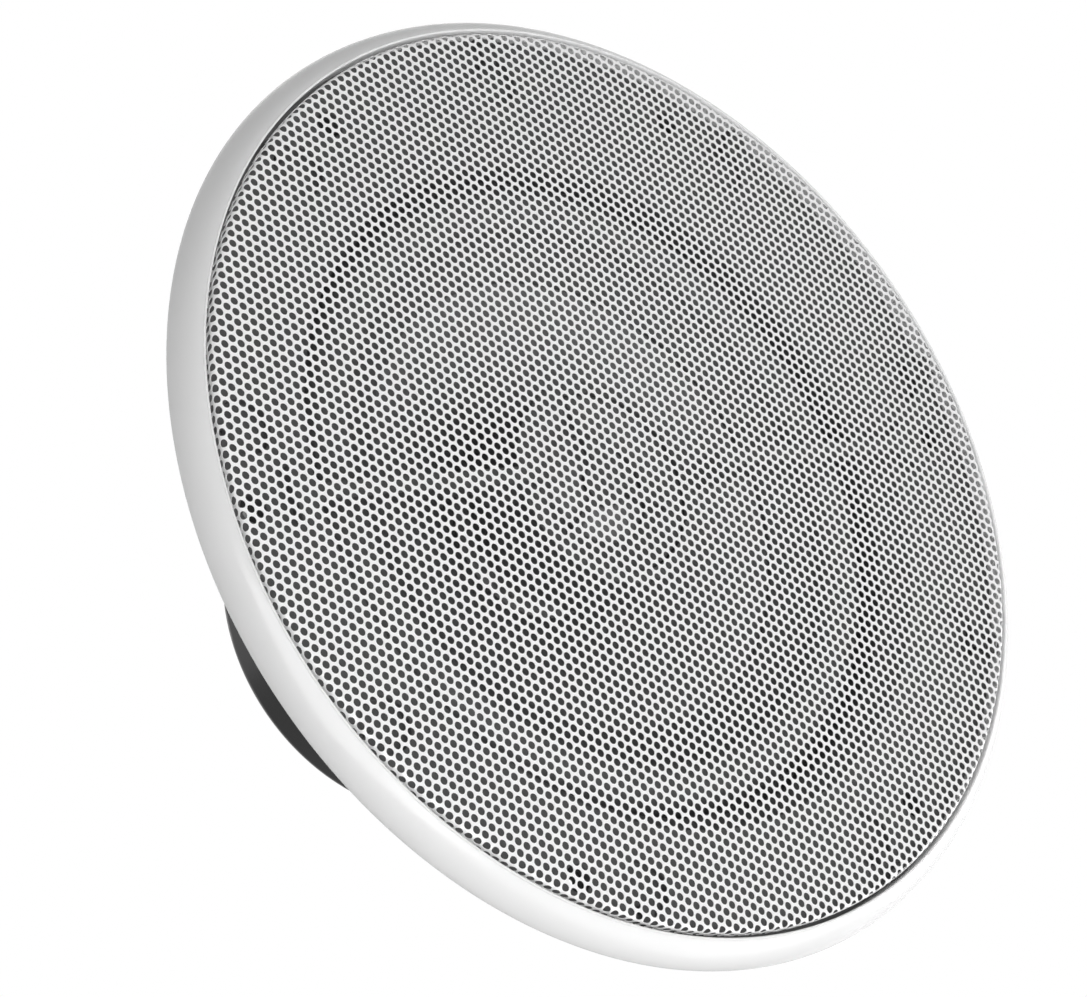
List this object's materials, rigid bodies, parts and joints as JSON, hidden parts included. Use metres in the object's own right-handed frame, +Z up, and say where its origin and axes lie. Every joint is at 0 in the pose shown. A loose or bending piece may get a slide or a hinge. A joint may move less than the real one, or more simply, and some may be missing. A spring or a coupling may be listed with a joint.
{
  "type": "marine speaker",
  "caption": "Round flush-mount coaxial marine speaker: white trim ring and domed perforated grille over a cone, bridge-mounted tweeter, ribbed basket and covered magnet.",
  "frame": {"origin": "centre of the panel seat, on the speaker's axis", "axes": "+Y along the axis to the rear through the panel, the grille faces -Y, +Z up as the picture is held"},
  "size_m": [0.185, 0.0822, 0.185],
  "materials": {
    "white_plastic": "satin-gloss moulded white plastic",
    "white_painted_steel": "white powder coat on perforated sheet",
    "foam_rubber": "closed-cell sealing foam",
    "basket_plastic": "fine-grained moulded dark grey plastic",
    "black_rubber": "smooth black rubber",
    "cone_plastic": "moulded grey plastic film",
    "spider_cloth": "resin-treated woven cloth",
    "former_film": "amber film",
    "copper_wire": "enamelled copper winding",
    "plated_steel": "zinc-plated steel",
    "ferrite": "ground dark grey ferrite",
    "cover_plastic": "satin black moulding",
    "dome_film": "thin moulded film",
    "nickel_magnet": "nickel-plated magnet",
    "block_plastic": "black moulded plastic",
    "tinned_brass": "tin-plated brass",
    "lead_braid": "braided copper tinsel",
    "capacitor_sleeve": "dark shrink sleeve"
  },
  "bodies": {
    "frame": {"trim_ring": "white_plastic", "grille": "white_painted_steel", "gasket": "foam_rubber", "basket": "basket_plastic", "surround": "black_rubber", "spider": "spider_cloth", "top_plate": "plated_steel", "magnet": "ferrite", "back_plate": "plated_steel", "magnet_cover": "cover_plastic", "motor_rivets": "plated_steel", "tweeter_bridge": "basket_plastic", "tweeter_faceplate": "basket_plastic", "tweeter_dome": "dome_film", "tweeter_coil": "copper_wire", "tweeter_plate": "plated_steel", "tweeter_magnet": "nickel_magnet", "tweeter_cup": "plated_steel", "terminal_block": "block_plastic", "terminal_tab_wide": "tinned_brass", "terminal_tab_narrow": "tinned_brass", "tinsel_leads": "lead_braid", "crossover_capacitor": "capacitor_sleeve"},
    "cone": {"cone": "cone_plastic", "dust_cap": "cone_plastic", "coil_former": "former_film", "voice_coil": "copper_wire"}
  },
  "joints": [
    {"name": "cone_travel", "type": "slide", "parent": "frame", "child": "cone", "axis": [0, -1, 0], "range_m": [-0.004, 0.004], "stiffness_N_per_m": 2500, "deforming": ["surround", "spider", "tinsel_leads"]}
  ]
}
